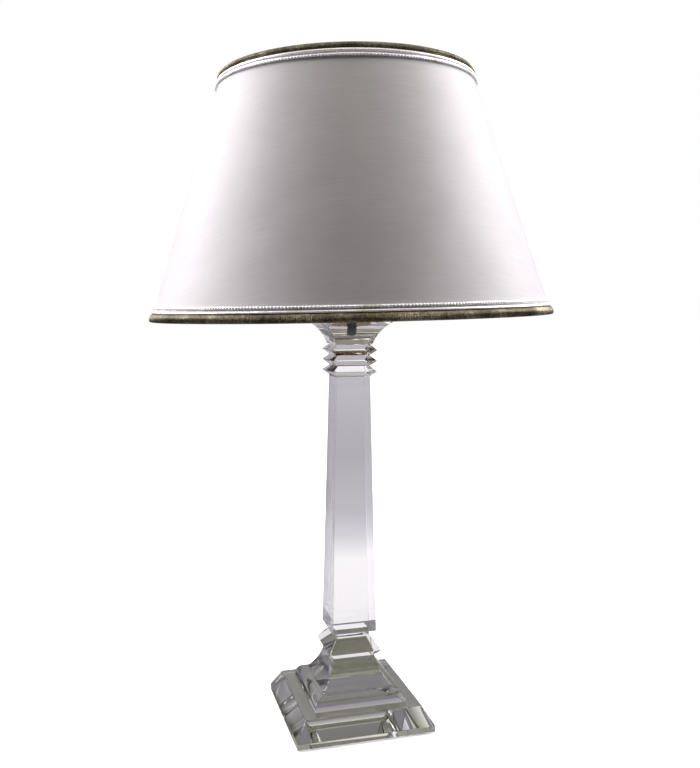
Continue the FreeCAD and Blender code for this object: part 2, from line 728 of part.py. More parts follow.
def shade_panel():
    """Stiff lining and the fabric laminated to it, one cone inside the other."""
    low = "shade_bottom + edge_gap"
    high = "shade_top - edge_gap"
    layers = {
        "shade_fabric": ("0", "0 - fabric_thick"),
        "shade_lining": ("0 - fabric_thick - layer_gap", "0 - fabric_thick - layer_gap - lining_thick"),
    }
    for label, (outer, inner) in layers.items():
        section = [(wall(low, inner), low), (wall(low, outer), low), (wall(high, outer), high),
                   (wall(high, inner), high)]
        keep(shade_lean(turned(label, section)))


def shade_edges():
    """Wire rings, the folded binding that covers each edge and the braid glued beside it."""
    inside = "0 - fabric_thick - lining_thick - 2 * layer_gap"
    ring_radius = f"{inside} - ring_inset"
    ends = {
        "bottom": ("shade_bottom", 1, "bottom_binding_high", "bottom_gimp_high"),
        "top": ("shade_top", -1, "top_binding_high", "top_gimp_high"),
    }
    for end, (edge, way, binding_high, gimp_high) in ends.items():
        ring_level = f"{edge} + {way} * ring_lift"
        radius = wall(ring_level, ring_radius)
        keep(shade_lean(turned_ring(f"{end}_ring", radius, ring_level, "ring_wire")))

        upright = f"binding_proud + {way} * 0.8 * wall_slope * {binding_high}"
        lip = f"{edge} + {way} * 0.9"
        stop = f"{edge} + {way} * {binding_high}"
        tape_out = f"{ring_radius} - 1.06 * ring_wire - layer_gap"
        tape_in = f"{tape_out} - tape_thick"
        section = [
            (wall(edge, "binding_proud - 1.2"), edge),
            (wall(lip, "binding_proud"), lip),
            (wall(stop, upright), stop),
            (wall(stop, "layer_gap"), stop),
            (wall(lip, "layer_gap"), lip),
            (wall(lip, tape_out), lip),
            (wall(stop, tape_out), stop),
            (wall(stop, tape_in), stop),
            (wall(edge, tape_in), edge),
        ]
        keep(shade_lean(turned(f"{end}_binding", section)))

        start = f"{stop} + {way} * layer_gap"
        middle = f"{start} + {way} * 0.5 * {gimp_high}"
        finish = f"{start} + {way} * {gimp_high}"
        section = [
            (wall(start, "layer_gap"), start),
            (wall(start, f"{upright} - 1.0"), start),
            (wall(middle, "gimp_proud"), middle),
            (wall(finish, "gimp_proud - 1.2"), finish),
            (wall(finish, "layer_gap"), finish),
        ]
        keep(shade_lean(turned(f"{end}_gimp", section)))


def spider():
    """Washer and three wire arms welded to the top ring."""
    washer = [
        ("hub_washer_hole", "hub_washer_low"),
        ("hub_washer_radius", "hub_washer_low"),
        ("hub_washer_radius", "hub_washer_low + hub_washer_thick"),
        ("hub_washer_hole", "hub_washer_low + hub_washer_thick"),
    ]
    keep(shade_lean(turned("spider_washer", washer)))

    level = size("hub_washer_low + 0.5 * hub_washer_thick")
    ring_level = size("shade_top - ring_lift")
    ring_radius = size(wall("shade_top - ring_lift",
                            "0 - fabric_thick - lining_thick - 2 * layer_gap - ring_inset"))
    reach = ring_radius - 1.2
    rise = ring_level - 0.8 - level
    arms = []
    for number, angle in enumerate((90, 210, 330), start=1):
        body = new_body(f"spider_arm_{number}")
        run = reach - size("arm_bend")
        slope = math.atan2(rise, run)
        back = size("arm_bend_radius") * math.tan(slope / 2)
        path = [
            ("arm_start", f"{level}"),
            (f"arm_bend - {back}", f"{level}"),
            (f"arm_bend + {back * math.cos(slope)}", f"{level + back * math.sin(slope)}"),
            (f"{reach}", f"{level + rise}"),
        ]
        arcs = {1: ("arm_bend_radius", -1)}
        spine = draw(new_sketch(body, "XZ_Plane", f"spider_arm_{number}_path"), path, arcs, closed=False)
        section = new_sketch(body, "YZ_Plane", f"spider_arm_{number}_section")
        section.AttachmentOffset = FreeCAD.Placement(
            FreeCAD.Vector(0, 0, size("arm_start")), FreeCAD.Rotation())
        add_circle(section, "0", f"{level}", "arm_wire")
        arm = piped(body, section, spine)
        arm.Placement = FreeCAD.Placement(FreeCAD.Vector(), FreeCAD.Rotation(UP, angle))
        arms.append(arm)
    keep(shade_lean(group("spider_arms", arms)))


def finial():
    """Turned brass knob on a threaded bush."""
    bush = [
        ("bush_bore", "finial_low"),
        ("bush_radius", "finial_low"),
        ("bush_radius", "finial_low + bush_high"),
        ("bush_bore", "finial_low + bush_high"),
    ]
    keep(lean(turned("finial_bush", bush)))

    inner = "bush_radius + finial_play"
    roof = "finial_low + 12.2"
    knob = [
        (inner, "finial_low"),
        ("finial_foot", "finial_low"),
        ("finial_foot", "finial_low + 2"),
        ("finial_waist", "finial_low + 5"),
        ("finial_waist", "finial_low + 8"),
        ("finial_ball", "finial_ball_high"),
        ("finial_crown", "finial_tip - 2.2"),
        ("finial_crown", "finial_tip - 1"),
        ("0", "finial_tip"),
        ("0", roof),
        (inner, roof),
    ]
    arcs = {2: ("4.5", 1), 4: ("12", 1), 5: ("finial_ball + 1.5", -1)}
    keep(lean(turned("finial_knob", knob, arcs)))


def broken(item):
    return "Invalid" in item.State or "Error" in item.State


def check_and_write():
    """Stop on any failed feature or shape, then write each piece to its own file."""
    faults = [item.Name for item in doc.Objects if broken(item)]
    for piece in PIECES:
        shape = piece.Shape
        if shape.isNull() or not shape.isValid() or not shape.Solids:
            faults.append(piece.Label)
    if faults:
        raise SystemExit("failed: " + ", ".join(faults))
    for piece in PIECES:
        piece.Shape.exportStep(os.path.join("parts", piece.Label + ".step"))
        box = piece.Shape.BoundBox
        print(f"{piece.Label}: {len(piece.Shape.Solids)} solid(s), {piece.Shape.Volume / 1000:.2f} cm3, "
              f"z {box.ZMin:.2f} to {box.ZMax:.2f}")


glass_base()
glass_column()
glass_capital()
stem_hardware()
lampholder()
switch_key()
bulb()
harp()
shade_panel()
shade_edges()
spider()
finial()
doc.recompute()
check_and_write()
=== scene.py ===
import math

import bmesh
import bpy
from mathutils import Matrix, Vector


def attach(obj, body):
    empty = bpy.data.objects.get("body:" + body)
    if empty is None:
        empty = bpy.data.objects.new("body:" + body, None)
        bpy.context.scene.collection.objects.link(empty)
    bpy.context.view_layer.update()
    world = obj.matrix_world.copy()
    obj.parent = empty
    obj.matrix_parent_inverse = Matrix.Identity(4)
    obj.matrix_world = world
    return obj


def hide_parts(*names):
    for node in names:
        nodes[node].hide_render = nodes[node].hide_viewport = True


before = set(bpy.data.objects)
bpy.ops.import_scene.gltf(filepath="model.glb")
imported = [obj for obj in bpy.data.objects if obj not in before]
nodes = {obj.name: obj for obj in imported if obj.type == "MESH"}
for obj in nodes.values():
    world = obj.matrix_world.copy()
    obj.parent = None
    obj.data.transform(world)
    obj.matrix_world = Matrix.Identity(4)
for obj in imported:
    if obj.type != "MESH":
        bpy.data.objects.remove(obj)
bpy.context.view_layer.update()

scene = bpy.context.scene
scene.view_settings.view_transform = "Standard"

# ---- Camera ----
# The photograph was taken from just left of the front, a little above the shade's lower rim, with a lens
# that takes in the whole lamp from 0.87 m away.
lens_length = 40.55
camera_spot = (-0.2363, -0.8401, 0.4270)
yaw, pitch, roll = (math.radians(degrees) for degrees in (15.76, 5.40, 0.12))
camera = bpy.data.objects.new("camera", bpy.data.cameras.new("camera"))
scene.collection.objects.link(camera)
scene.camera = camera
camera.data.lens = lens_length
ahead = Vector((math.sin(yaw) * math.cos(pitch), math.cos(yaw) * math.cos(pitch), -math.sin(pitch)))
level = Vector((math.cos(yaw), -math.sin(yaw), 0))
upright = level.cross(ahead)
across = math.cos(roll) * level + math.sin(roll) * upright
turn = Matrix((across, across.cross(ahead), -ahead)).transposed()
camera.matrix_world = Matrix.Translation(camera_spot) @ turn.to_4x4()

# ---- Studio ----
# Matt white paper under the lamp and a white room round it. The room is dimmer on the camera's side,
# so the shade is modelled from its middle to its edges and the glass has something to show.


def linear(code):
    """The colour of an sRGB hex code, as a shader takes it."""
    parts = [int(code[place:place + 2], 16) / 255 for place in (1, 3, 5)]
    return (*(part / 12.92 if part < 0.04045 else ((part + 0.055) / 1.055) ** 2.4 for part in parts), 1)


def wire(tree, made, sockets):
    """Set a node's sockets, to a value or to another node's output."""
    for socket, value in sockets.items():
        if isinstance(value, bpy.types.NodeSocket):
            tree.links.new(value, made.inputs[socket])
        else:
            made.inputs[socket].default_value = value


def node(tree, kind, sockets=None, stops=None, **settings):
    """Add a node with its settings and links. stops are a ramp's places and colours, from low to high."""
    made = tree.nodes.new("ShaderNode" + kind)
    for name, value in settings.items():
        setattr(made, name, value)
    wire(tree, made, sockets or {})
    for number, (place, colour) in enumerate(stops or ()):
        ramp = made.color_ramp.elements
        stop = ramp[number] if number < 2 else ramp.new(place)
        stop.position = place
        stop.color = linear(colour) if isinstance(colour, str) else colour
    return made


def new_finish(name):
    """A material with a plain Principled shader, and its node tree."""
    finish = bpy.data.materials.new(name)
    finish.use_nodes = True
    return finish, finish.node_tree, finish.node_tree.nodes["Principled BSDF"]


world = bpy.data.worlds.new("white_room")
scene.world = world
world.use_nodes = True
room = world.node_tree
room.nodes.clear()
path = node(room, "LightPath")
place = node(room, "TexCoord").outputs["Generated"]
toward = node(room, "SeparateXYZ", {0: place})
depth = node(room, "MapRange", {"Value": toward.outputs["Y"], "From Min": -1.0, "From Max": 1.0}).outputs[0]
# What lights the lamp: warm and dim from the camera's side, pale from beyond.
fill_strength = 0.8
soft = node(room, "ValToRGB", {0: depth}, stops=[
    (0.0, "#4A4744"), (0.35, "#5E5A57"), (0.62, "#EEECF2"), (1.0, "#F2F0F6")])
# What glass and metal show: the same room, its walls dimmer towards the top.
wall_foot_strength, wall_head_strength = 1.0, 0.42
shown = node(room, "ValToRGB", {0: depth}, stops=[
    (0.0, "#3C3B36"), (0.40, "#66645C"), (0.62, "#C0BCC2"), (1.0, "#C4C0C8")])
seen = node(room, "Math", {0: path.outputs["Is Glossy Ray"], 1: path.outputs["Is Transmission Ray"]},
            operation="MAXIMUM")
walls = node(room, "MapRange", {"Value": toward.outputs["Z"], "From Min": 0.08, "From Max": 0.35,
                                "To Min": wall_foot_strength, "To Max": wall_head_strength})
# A bright ceiling, which only outer faces mirror: it gives the braid and the metal their sparkle.
ceiling_strength = 2.6
ceiling = node(room, "MapRange", {"Value": toward.outputs["Z"], "From Min": 0.30, "From Max": 0.65,
                                  "To Min": 0.0, "To Max": ceiling_strength})
outside = node(room, "Math", {0: path.outputs["Transmission Depth"], 1: 0.5}, operation="LESS_THAN")
direct = node(room, "Math", {0: outside.outputs[0], 1: path.outputs["Is Glossy Ray"]}, operation="MULTIPLY")
overhead = node(room, "Math", {0: ceiling.outputs[0], 1: direct.outputs[0]}, operation="MULTIPLY")
above = node(room, "Math", {0: walls.outputs[0], 1: overhead.outputs[0]}, operation="ADD")
lit = node(room, "Background", {0: soft.outputs[0], 1: fill_strength})
mirrored = node(room, "Background", {0: shown.outputs[0], 1: above.outputs[0]})
plain = node(room, "Background", {0: (1, 1, 1, 1), 1: 1.0})
room_mix = node(room, "MixShader", {0: seen.outputs[0], 1: lit.outputs[0], 2: mirrored.outputs[0]})
room_all = node(room, "MixShader", {0: path.outputs["Is Camera Ray"], 1: room_mix.outputs[0],
                                    2: plain.outputs[0]})
node(room, "OutputWorld", {0: room_all.outputs[0]})

paper_half = 6
floor_mesh = bpy.data.meshes.new("paper_floor")
floor_mesh.from_pydata([(x * paper_half, y * paper_half, 0) for x, y in ((-1, -1), (1, -1), (1, 1), (-1, 1))],
                       [], [(0, 1, 2, 3)])
floor = bpy.data.objects.new("paper_floor", floor_mesh)
scene.collection.objects.link(floor)
# Matt paper: plain near the lamp, where it keeps the shadow, and white further off. To glass and metal the
# paper glows instead: dark olive-grey for about the first 0.1 m round the lamp, a painted shadow under the
# glass base, then pale, and further off the lilac-grey of the room behind it. Distances from the lamp are in
# metres.
shadow_reach, white_reach, shadow_lift = 0.25, 0.60, 0.30
shown_reach, shown_share = 3.0, 0.9
paper, tree, shader = new_finish("matt_white_paper")
path = node(tree, "LightPath")
spot = node(tree, "VectorMath", {0: node(tree, "NewGeometry").outputs["Position"]}, operation="LENGTH")
far = node(tree, "MapRange", {"Value": spot.outputs["Value"], "From Min": shadow_reach,
                              "From Max": white_reach}, interpolation_type="SMOOTHSTEP")
lift = node(tree, "MapRange", {"Value": far.outputs[0], "To Min": shadow_lift, "To Max": 1.0})
seen = node(tree, "Math", {0: path.outputs["Is Camera Ray"], 1: lift.outputs[0]}, operation="MULTIPLY")
tone = node(tree, "Mix", {0: path.outputs["Is Diffuse Ray"], 6: linear("#F3F3F4"), 7: linear("#565452")},
            data_type="RGBA")
wire(tree, shader, {"Base Color": tone.outputs[2], "Roughness": 0.95, "Specular IOR Level": 0.1,
                    "Emission Color": (1, 1, 1, 1), "Emission Strength": seen.outputs[0]})
beyond = node(tree, "MapRange", {"Value": spot.outputs["Value"], "From Min": 0.0, "From Max": shown_reach})
# Painted shadow: the glow's first two stops, up to about 0.1 m from the lamp, are dark olive-grey.
painted_shadow_and_backdrop = node(tree, "ValToRGB", {0: beyond.outputs[0]}, stops=[
    (0.0, "#6E6D64"), (0.035, "#7A7970"), (0.05, "#ECE8F2"), (0.17, "#FAF6FF"), (0.21, "#CCC8D6"),
    (0.26, "#B0ACB8"), (0.45, "#A6A4AE"), (0.80, "#BEBAC6"), (1.0, "#C6C2CE")])
glow = node(tree, "Emission", {0: painted_shadow_and_backdrop.outputs[0], 1: 1.0})
through = node(tree, "Math", {0: path.outputs["Is Transmission Ray"], 1: path.outputs["Is Glossy Ray"]},
               operation="MAXIMUM")
share = node(tree, "Math", {0: through.outputs[0], 1: shown_share}, operation="MULTIPLY")
laid = node(tree, "MixShader", {0: share.outputs[0], 1: shader.outputs[0], 2: glow.outputs[0]})
wire(tree, tree.nodes["Material Output"], {"Surface": laid.outputs[0]})
floor_mesh.materials.append(paper)

# Two softboxes stand to the sides and a small warm one hangs over the shade's front. The glass doesn't
# show them through itself, only as highlights on its faces. Places and widths in metres, power in watts.
aimed_at = Vector((0, 0, 0.45))
for name, spot, width, power, colour in (
        ("left_softbox", (-1.36, 0.66, 1.25), 1.2, 50.0, (1.0, 0.97, 1.0)),
        ("right_softbox", (1.49, -0.15, 1.25), 1.2, 48.0, (1.0, 0.97, 1.0)),
        ("top_softbox", (-0.06, -0.34, 1.25), 0.35, 1.9, (1.0, 0.97, 0.88))):
    lamp = bpy.data.objects.new(name, bpy.data.lights.new(name, "AREA"))
    lamp.data.size = width
    lamp.data.energy = power
    lamp.data.color = colour
    lamp.visible_transmission = False
    lamp.location = spot
    lamp.rotation_euler = (aimed_at - Vector(spot)).to_track_quat("-Z", "Y").to_euler()
    scene.collection.objects.link(lamp)

# ---- Glass base, column, rings and capital ----
# Eight blocks of clear lead-free crystal, cut and polished to a square plan, their arrises just broken.
# They are stacked and bonded with clear cement, so light passes the joints: no face is made there.
arris = 0.45
cut_angle, crease_angle = math.radians(14), math.radians(16)


def swept(start, end, radius, way):
    """Points of the arc from start to end that bulges to the left of its chord (1) or to the right (-1)."""
    steps = 28
    chord = end - start
    left = Vector((-chord.y, chord.x)).normalized()
    centre = (start + end) / 2 - left * way * math.sqrt(radius ** 2 - chord.length_squared / 4)
    first = math.atan2(start.y - centre.y, start.x - centre.x)
    last = math.atan2(end.y - centre.y, end.x - centre.x)
    sweep = (last - first + math.pi) % (2 * math.pi) - math.pi
    return [centre + radius * Vector((math.cos(first + sweep * step / steps),
                                      math.sin(first + sweep * step / steps))) for step in range(1, steps)]


def outline(*corners):
    """A side outline in metres from (half, height) corners in mm. (radius, way, "arc") stands between two."""
    points = []
    for number, corner in enumerate(corners):
        if corner[-1] == "arc":
            start, end = (Vector(corners[number + step]) for step in (-1, 1))
            points += swept(start, end, corner[0], corner[1])
        else:
            points.append(Vector(corner))
    return [point / 1000 for point in points]


def put(name, mesh, finish, body, stands_for=()):
    """Set a finished mesh in the scene as a piece that moves with a body."""
    piece = bpy.data.objects.new(name, mesh)
    scene.collection.objects.link(piece)
    mesh.materials.append(finish)
    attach(piece, body)
    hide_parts(*stands_for)
    return piece


def square_block(name, side, foot, top):
    """A block of square plan. foot and top say which ends have a face; the other ends are joints."""
    block = bmesh.new()
    rings = []
    for point in side:
        rings.append([block.verts.new((x * point.x, y * point.x, point.y))
                      for x, y in ((1, -1), (1, 1), (-1, 1), (-1, -1))])
    for low, high in zip(rings, rings[1:]):
        for corner in range(4):
            following = (corner + 1) % 4
            block.faces.new((low[corner], low[following], high[following], high[corner]))
    if foot:
        block.faces.new(reversed(rings[0]))
    if top:
        block.faces.new(rings[-1])
    block.normal_update()
    sharp = [edge for edge in block.edges
             if len(edge.link_faces) == 2 and edge.calc_face_angle() > cut_angle]
    bmesh.ops.bevel(block, geom=sharp, offset=arris / 1000, segments=2, profile=0.5, affect="EDGES",
                    clamp_overlap=True)
    mesh = bpy.data.meshes.new(name)
    block.to_mesh(mesh)
    block.free()
    mesh.shade_smooth()
    mesh.set_sharp_from_angle(angle=crease_angle)
    return mesh


# Lead-free crystal: clear and glossy, its thick parts faintly olive. The tint follows the way that light
# has come through the glass, up to 0.25 m, so it gathers in the long paths and leaves thin parts clear.
full_tint = 0.250
crystal, tree, shader = new_finish("cut_polished_crystal")
path = node(tree, "LightPath")
inside = node(tree, "NewGeometry").outputs["Backfacing"]
through = node(tree, "Math", {0: path.outputs["Ray Length"], 1: inside}, operation="MULTIPLY")
share = node(tree, "MapRange", {"Value": through.outputs[0], "From Min": 0.0, "From Max": full_tint})
tint = node(tree, "ValToRGB", {0: share.outputs[0]}, stops=[
    (0.0, "#FEFEFE"), (0.16, "#F4F4EC"), (0.40, "#E2E4C4"), (1.0, "#BEC186")])
wire(tree, shader, {"Base Color": tint.outputs[0], "Roughness": 0.0, "IOR": 1.52,
                    "Transmission Weight": 1.0})

# Half width and height of each corner from the foot up in mm, then whether the foot and the top are faces.
crystal_blocks = {
    "base_plinth": (outline((70, 1.5), (70, 7.6), (59.4, 25.4), (47, 25.4)), True, False),
    "foot_block": (outline((47, 25.4), (47, 27.5), (11, -1, "arc"), (36, 38.5), (62, 1, "arc"), (21.4, 67)),
                   False, False),
    "foot_collar": (outline((21.4, 67), (27.6, 73.3), (17, 87.4), (17, 92.4)), False, False),
    "column_shaft": (outline((17, 92.4), (22.8, 92.4), (17, 353.2), (16.5, 353.2)), False, False),
    "ring_lower": (outline((16.5, 353.2), (22.7, 358.4), (16.5, 363.9)), False, False),
    "ring_middle": (outline((16.5, 363.9), (22.7, 369.1), (16.5, 374.6)), False, False),
    "ring_upper": (outline((16.5, 374.6), (22.7, 379.8), (16.5, 385.3)), False, False),
    "capital": (outline((16.5, 385.3), (18.8, 385.3), (41, 1, "arc"), (41, 411.4), (41, 420)), False, True),
}
for name, (side, foot, top) in crystal_blocks.items():
    put("cut_" + name, square_block("cut_" + name, side, foot, top), crystal, "base", [name])

# ---- Foot pads ----
# Four domed bumpers of soft clear-grey rubber with a slightly matt skin. Each is moulded, and stuck on
# under a corner of the plinth by its own adhesive.
touching = 1e-7


def skin(name, rows, cut=30):
    """A closed mesh over rows of points, each row going round the piece; cut is a sharp edge's angle."""
    shape = bmesh.new()
    laid = [[shape.verts.new(point) for point in row] for row in rows]
    laid.append(laid[0])
    for low, high in zip(laid, laid[1:]):
        for number in range(len(low)):
            following = (number + 1) % len(low)
            shape.faces.new((low[number], low[following], high[following], high[number]))
    bmesh.ops.remove_doubles(shape, verts=shape.verts, dist=touching)
    mesh = bpy.data.meshes.new(name)
    shape.to_mesh(mesh)
    shape.free()
    mesh.shade_smooth()
    mesh.set_sharp_from_angle(angle=math.radians(cut))
    return mesh


def round_row(radius, height, around, wave=None):
    """Points of one turn. wave(angle) adds to the radius."""
    row = []
    for step in range(around):
        angle = 2 * math.pi * step / around
        reach = radius + (wave(angle) if wave else 0)
        row.append(Vector((reach * math.cos(angle), reach * math.sin(angle), height)))
    return row


def lathe(name, corners, around=96, move=None):
    """A turned piece from its closed half section in mm."""
    rows = [round_row(point.x, point.y, around) for point in outline(*corners)]
    mesh = skin(name, rows)
    if move:
        mesh.transform(move)
    return mesh


def repaint(finish, *names):
    """Give pieces that stay as the CAD has them their material."""
    for name in names:
        nodes[name].data.materials.clear()
        nodes[name].data.materials.append(finish)


# Moulded rubber: clear grey and half matt, with a fine grain. A pattern's scale is its cells to the metre.
skin_grain = 900.0  # one every 1.1 mm
bumper, tree, shader = new_finish("moulded_clear_grey_rubber")
grain = node(tree, "TexNoise", {"Scale": skin_grain, "Detail": 3.0})
ramp = node(tree, "ValToRGB", {0: grain.outputs[0]}, stops=[(0.3, "#C4C5C2"), (0.7, "#D8D9D6")])
bump = node(tree, "Bump", {"Strength": 0.2, "Distance": 0.0002, "Height": grain.outputs[0]})
wire(tree, shader, {"Base Color": ramp.outputs[0], "Roughness": 0.35, "Transmission Weight": 0.8,
                    "IOR": 1.48, "Normal": bump.outputs[0]})

pad_reach = 0.058
pad_side = ((0.02, 0.04), (4.6, 0.04), (5.0, 0.5), (4.5, 1.44), (0.02, 1.44))
pads = bmesh.new()
for x, y in ((1, 1), (1, -1), (-1, -1), (-1, 1)):
    corner = Matrix.Translation((x * pad_reach, y * pad_reach, 0))
    dome = lathe("dome", pad_side, around=48, move=corner)
    pads.from_mesh(dome)
    bpy.data.meshes.remove(dome)
pad_mesh = bpy.data.meshes.new("moulded_bumpers")
pads.to_mesh(pad_mesh)
pads.free()
pad_mesh.shade_smooth()
put("moulded_bumpers", pad_mesh, bumper, "base", ["foot_pads"])

# ---- Nipple ----
# Blackened steel lamp pipe with a rolled 27-to-the-inch thread, cemented into the capital's blind hole.
# The cement fills the hole, so the glass lies right against the thread.


def threaded(name, low, high, radius, depth, pitch, thick):
    """A tube whose two walls carry a rolled thread that runs out at its ends. Sizes in mm."""
    steps, around = 8, 48
    count = round((high - low) / pitch * steps)
    rows = []
    for level in range(count + 1):
        height = low + (high - low) * level / count
        swell = min(1.0, 2 * level / steps, 2 * (count - level) / steps)
        rows.append(round_row(radius / 1000, height / 1000, around, lambda angle: swell * depth / 2000 * (
            math.cos(2 * math.pi * height / pitch - angle) - 1)))
    inner = [[Vector((point.x, point.y, 0)) * (1 - thick / 1000 / Vector((point.x, point.y)).length)
              + Vector((0, 0, point.z)) for point in row] for row in reversed(rows)]
    return skin(name, rows + inner, cut=50)


# Oil-blackened steel: near black and satin, with small greyer patches where the oil black has worn.
worn_patches = 700.0  # one every 1.4 mm
blackened, tree, shader = new_finish("oil_blackened_steel")
wear = node(tree, "TexNoise", {"Scale": worn_patches, "Detail": 4.0})
ramp = node(tree, "ValToRGB", {0: wear.outputs[0]}, stops=[(0.55, "#17191B"), (0.8, "#3A3C3E")])
wire(tree, shader, {"Base Color": ramp.outputs[0], "Metallic": 0.6, "Roughness": 0.45})
pipe = threaded("rolled_thread_nipple", low=399, high=434, radius=4.85, depth=0.45, pitch=0.94, thick=1.4)
put("rolled_thread_nipple", pipe, blackened, "base", ["nipple"])

# ---- Check ring, nut and harp saddle ----
# Brass plate and strip, stamped, dipped and lacquered. The ring covers the hole in the capital, the nut
# locks the pipe, and the strap's two posts carry the harp.

# Lacquered brass: warm yellow and glossy, clouded by handling and by the dip under the lacquer. Both its
# stops are dark for brass, a painted shade for the check ring, which lies in shade under the glass.
handling_clouds = 90.0  # one every 11 mm
rolled_grain = 2600.0  # one every 0.4 mm
brass, tree, shader = new_finish("lacquered_brass")
cloud = node(tree, "TexNoise", {"Scale": handling_clouds, "Detail": 5.0, "Roughness": 0.6})
ramp = node(tree, "ValToRGB", {0: cloud.outputs[0]}, stops=[(0.35, "#8E7038"), (0.7, "#BC9C58")])
dull = node(tree, "MapRange", {"Value": cloud.outputs[0], "From Min": 0.3, "From Max": 0.7,
                               "To Min": 0.20, "To Max": 0.34}).outputs[0]
rolled = node(tree, "TexNoise", {"Scale": rolled_grain, "Detail": 2.0})
bump = node(tree, "Bump", {"Strength": 0.08, "Distance": 0.00005, "Height": rolled.outputs[0]})
wire(tree, shader, {"Base Color": ramp.outputs[0], "Metallic": 1.0, "Roughness": dull,
                    "Coat Weight": 0.4, "Coat Roughness": 0.12, "Normal": bump.outputs[0]})
repaint(brass, "check_ring", "lock_nut", "harp_saddle")

# ---- Lampholder ----
# A medium screw holder: brass cap and shell, pressed fibre liner, moulded black body with brass parts
# and an aluminium screw shell. The cap is screwed on the pipe and held by a small steel screw.
repaint(brass, "socket_cap", "socket_shell", "centre_contact", "terminal_screws")

# Zinc-plated steel: bright blue-grey with the fine spangle of plating.
plating_spangle = 1400.0  # one every 0.7 mm
zinc, tree, shader = new_finish("zinc_plated_steel")
spangle = node(tree, "TexVoronoi", {"Scale": plating_spangle})
ramp = node(tree, "ValToRGB", {0: spangle.outputs[0]}, stops=[(0.2, "#A3A7AB"), (0.9, "#C3C6C9")])
wire(tree, shader, {"Base Color": ramp.outputs[0], "Metallic": 1.0, "Roughness": 0.32})
repaint(zinc, "set_screw")

# Vulcanised fibre: matt red-brown board with a faint criss-cross of pressed fibres.
pressed_fibres = 420.0  # one every 2.4 mm
fibre, tree, shader = new_finish("vulcanised_fibre")
strand = node(tree, "TexNoise", {"Scale": pressed_fibres, "Detail": 6.0, "Distortion": 1.5})
ramp = node(tree, "ValToRGB", {0: strand.outputs[0]}, stops=[(0.3, "#4E382A"), (0.7, "#6E523E")])
bump = node(tree, "Bump", {"Strength": 0.25, "Distance": 0.0001, "Height": strand.outputs[0]})
wire(tree, shader, {"Base Color": ramp.outputs[0], "Roughness": 0.8, "Normal": bump.outputs[0]})
repaint(fibre, "shell_liner")

# Phenolic moulding: brown-black with mottled flow marks and a low gloss.
flow_marks = 160.0  # one every 6 mm
phenolic, tree, shader = new_finish("phenolic_moulding")
flow = node(tree, "TexNoise", {"Scale": flow_marks, "Detail": 4.0, "Distortion": 2.5})
ramp = node(tree, "ValToRGB", {0: flow.outputs[0]}, stops=[(0.35, "#1B1816"), (0.75, "#2C2724")])
gloss = node(tree, "MapRange", {"Value": flow.outputs[0], "To Min": 0.30, "To Max": 0.46}).outputs[0]
wire(tree, shader, {"Base Color": ramp.outputs[0], "Roughness": gloss})
repaint(phenolic, "holder_body", "cord_bushing")

# Pressed aluminium: pale and soft, with long drawing marks round the shell.
drawing_marks = (20.0, 20.0, 4000.0)  # 50 mm long and 0.25 mm apart
aluminium, tree, shader = new_finish("pressed_aluminium")
place = node(tree, "TexCoord").outputs["Object"]
drawn = node(tree, "Mapping", {"Vector": place, "Scale": drawing_marks})
mark = node(tree, "TexNoise", {"Vector": drawn.outputs[0], "Scale": 1.0, "Detail": 3.0})
ramp = node(tree, "ValToRGB", {0: mark.outputs[0]}, stops=[(0.3, "#BDBEBF"), (0.7, "#DADBDC")])
bump = node(tree, "Bump", {"Strength": 0.1, "Distance": 0.00005, "Height": mark.outputs[0]})
wire(tree, shader, {"Base Color": ramp.outputs[0], "Metallic": 1.0, "Roughness": 0.36,
                    "Normal": bump.outputs[0]})
shell = threaded("lampholder_screw_shell", low=470.4, high=493.6, radius=13.8, depth=0.7, pitch=3.63,
                 thick=0.35)
put("lampholder_screw_shell", shell, aluminium, "base", ["screw_shell"])

# ---- Switch key ----
# A brass spindle comes out of the lampholder through a window in its shell. A fluted knob of black
# plastic is pressed on its end and turns it.
repaint(brass, "switch_shaft")

# Glossy black moulding: deep black, rubbed a little duller on the raised flutes.
finger_smears = 300.0  # one every 3 mm
ebony, tree, shader = new_finish("glossy_black_moulding")
rub = node(tree, "NewGeometry").outputs["Pointiness"]
gloss = node(tree, "MapRange", {"Value": rub, "From Min": 0.48, "From Max": 0.56,
                                "To Min": 0.12, "To Max": 0.34}).outputs[0]
smear = node(tree, "TexNoise", {"Scale": finger_smears, "Detail": 3.0})
ramp = node(tree, "ValToRGB", {0: smear.outputs[0]}, stops=[(0.3, "#101012"), (0.8, "#1E1E20")])
wire(tree, shader, {"Base Color": ramp.outputs[0], "Roughness": gloss})
repaint(ebony, "switch_knob")

# ---- Bulb ----
# An A-shaped lamp bulb: aluminium screw cap, black glass insulator with a solder tip, a glass stem and a
# blown globe that is frosted white inside. It turns on its thread.

# Solder: dull grey, wrinkled where it froze.
wrinkles = 1300.0  # one every 0.8 mm
solder, tree, shader = new_finish("frozen_solder")
wrinkle = node(tree, "TexNoise", {"Scale": wrinkles, "Detail": 5.0})
ramp = node(tree, "ValToRGB", {0: wrinkle.outputs[0]}, stops=[(0.3, "#8C8C8A"), (0.7, "#A9A9A6")])
bump = node(tree, "Bump", {"Strength": 0.4, "Distance": 0.0002, "Height": wrinkle.outputs[0]})
wire(tree, shader, {"Base Color": ramp.outputs[0], "Metallic": 1.0, "Roughness": 0.42,
                    "Normal": bump.outputs[0]})
repaint(solder, "bulb_tip")

# Black glass: pure black with a wet gloss and small pits.
pits = 1500.0  # one every 0.7 mm
black_glass, tree, shader = new_finish("black_insulator_glass")
pit = node(tree, "TexVoronoi", {"Scale": pits})
ramp = node(tree, "ValToRGB", {0: pit.outputs[0]}, stops=[(0.1, "#22222A"), (0.3, "#0C0C10")])
wire(tree, shader, {"Base Color": ramp.outputs[0], "Roughness": 0.12})
repaint(black_glass, "bulb_insulator")

screw = threaded("bulb_screw_cap", low=478.0, high=499.0, radius=12.9, depth=0.7, pitch=3.63, thick=0.4)
put("bulb_screw_cap", screw, aluminium, "bulb", ["bulb_cap"])

